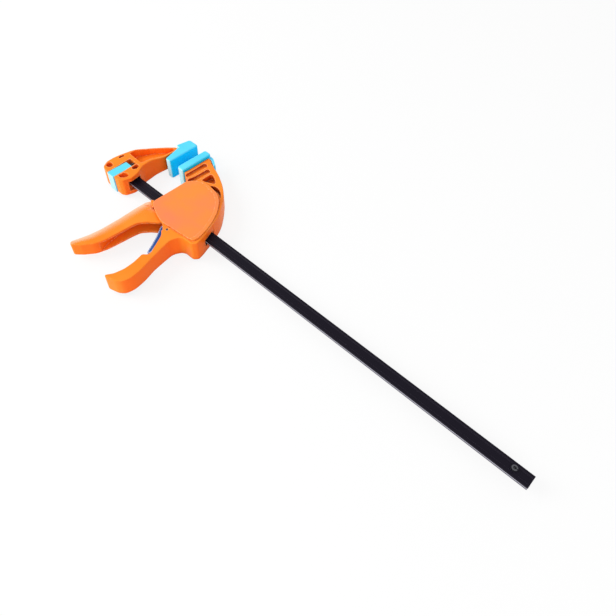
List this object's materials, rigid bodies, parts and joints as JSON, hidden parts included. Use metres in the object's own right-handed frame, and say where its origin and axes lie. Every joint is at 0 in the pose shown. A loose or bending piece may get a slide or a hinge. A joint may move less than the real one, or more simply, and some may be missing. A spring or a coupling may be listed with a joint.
{
  "type": "quick release bar clamp",
  "caption": "One-handed bar clamp: fixed jaw and sliding head with trigger, pistol grip and release lever on a flat bar.",
  "frame": {"origin": "centre of the fixed jaw pad's flat clamping face", "axes": "+X along the bar from the fixed jaw towards its free end, +Y from the bar to the jaw tips, +Z through the clamp's thickness, out of the side cover; the clamp lies on its other side"},
  "size_m": [0.4635, 0.1646, 0.024],
  "materials": {
    "bar_steel": "black oxide, slightly rough",
    "pin_steel": "plain steel",
    "jaw_plastic": "moulded, fine texture",
    "pad_rubber": "soft moulded, satin",
    "button_plastic": "moulded, satin",
    "head_plastic": "moulded, fine texture",
    "cover_plastic": "moulded, satin",
    "screw_steel": "black",
    "trigger_plastic": "moulded, fine texture",
    "plate_steel": "hardened, ground",
    "spring_steel": "drawn wire",
    "lever_plastic": "moulded, satin"
  },
  "bodies": {
    "base": {"clamp_bar": "bar_steel", "bar_stop_pin": "pin_steel", "fixed_jaw": "jaw_plastic", "fixed_jaw_pad": "pad_rubber", "button_springs": "spring_steel"},
    "button": {"jaw_release_button": "button_plastic", "latch_pin": "pin_steel"},
    "head": {"head_frame": "head_plastic", "side_cover": "cover_plastic", "cover_screws": "screw_steel", "moving_jaw_pad": "pad_rubber", "trigger_pin": "pin_steel", "lever_pin": "pin_steel", "drive_spring": "spring_steel", "brake_spring": "spring_steel"},
    "trigger": {"trigger": "trigger_plastic"},
    "drive": {"drive_plate_front": "plate_steel", "drive_plate_rear": "plate_steel"},
    "brake": {"brake_plate": "plate_steel"},
    "lever": {"release_lever": "lever_plastic"}
  },
  "joints": [
    {"name": "head_slide", "type": "slide", "parent": "base", "child": "head", "axis": [1, 0, 0], "range_m": [-0.0104, 0.3075]},
    {"name": "button_press", "type": "slide", "parent": "base", "child": "button", "axis": [0, 1, 0], "range_m": [0, 0.0024], "stiffness_N_per_m": 800, "springref_m": -0.0015, "deforming": ["button_springs"]},
    {"name": "trigger_squeeze", "type": "hinge", "parent": "head", "child": "trigger", "pos_m": [0.054, -0.036, 0], "axis": [0, 0, 1], "range_deg": [0, 20], "stiffness_Nm_per_rad": 0.5, "springref_deg": -11.46},
    {"name": "drive_advance", "type": "slide", "parent": "head", "child": "drive", "axis": [1, 0, 0], "range_m": [0, 0.0089], "deforming": ["drive_spring"]},
    {"name": "lever_squeeze", "type": "hinge", "parent": "head", "child": "lever", "pos_m": [0.06946, -0.07837, 0], "axis": [0, 0, 1], "range_deg": [0, 8], "stiffness_Nm_per_rad": 0.3, "springref_deg": -5.73},
    {"name": "brake_release", "type": "hinge", "parent": "head", "child": "brake", "pos_m": [0.07795, -0.061, 0], "axis": [0, 0, -1], "range_deg": [0, 9], "deforming": ["brake_spring"]}
  ],
  "couplings": [
    {"joint": "drive_advance", "follows": "trigger_squeeze", "m_per_rad": 0.02547},
    {"joint": "brake_release", "follows": "lever_squeeze", "ratio": 1.125}
  ]
}
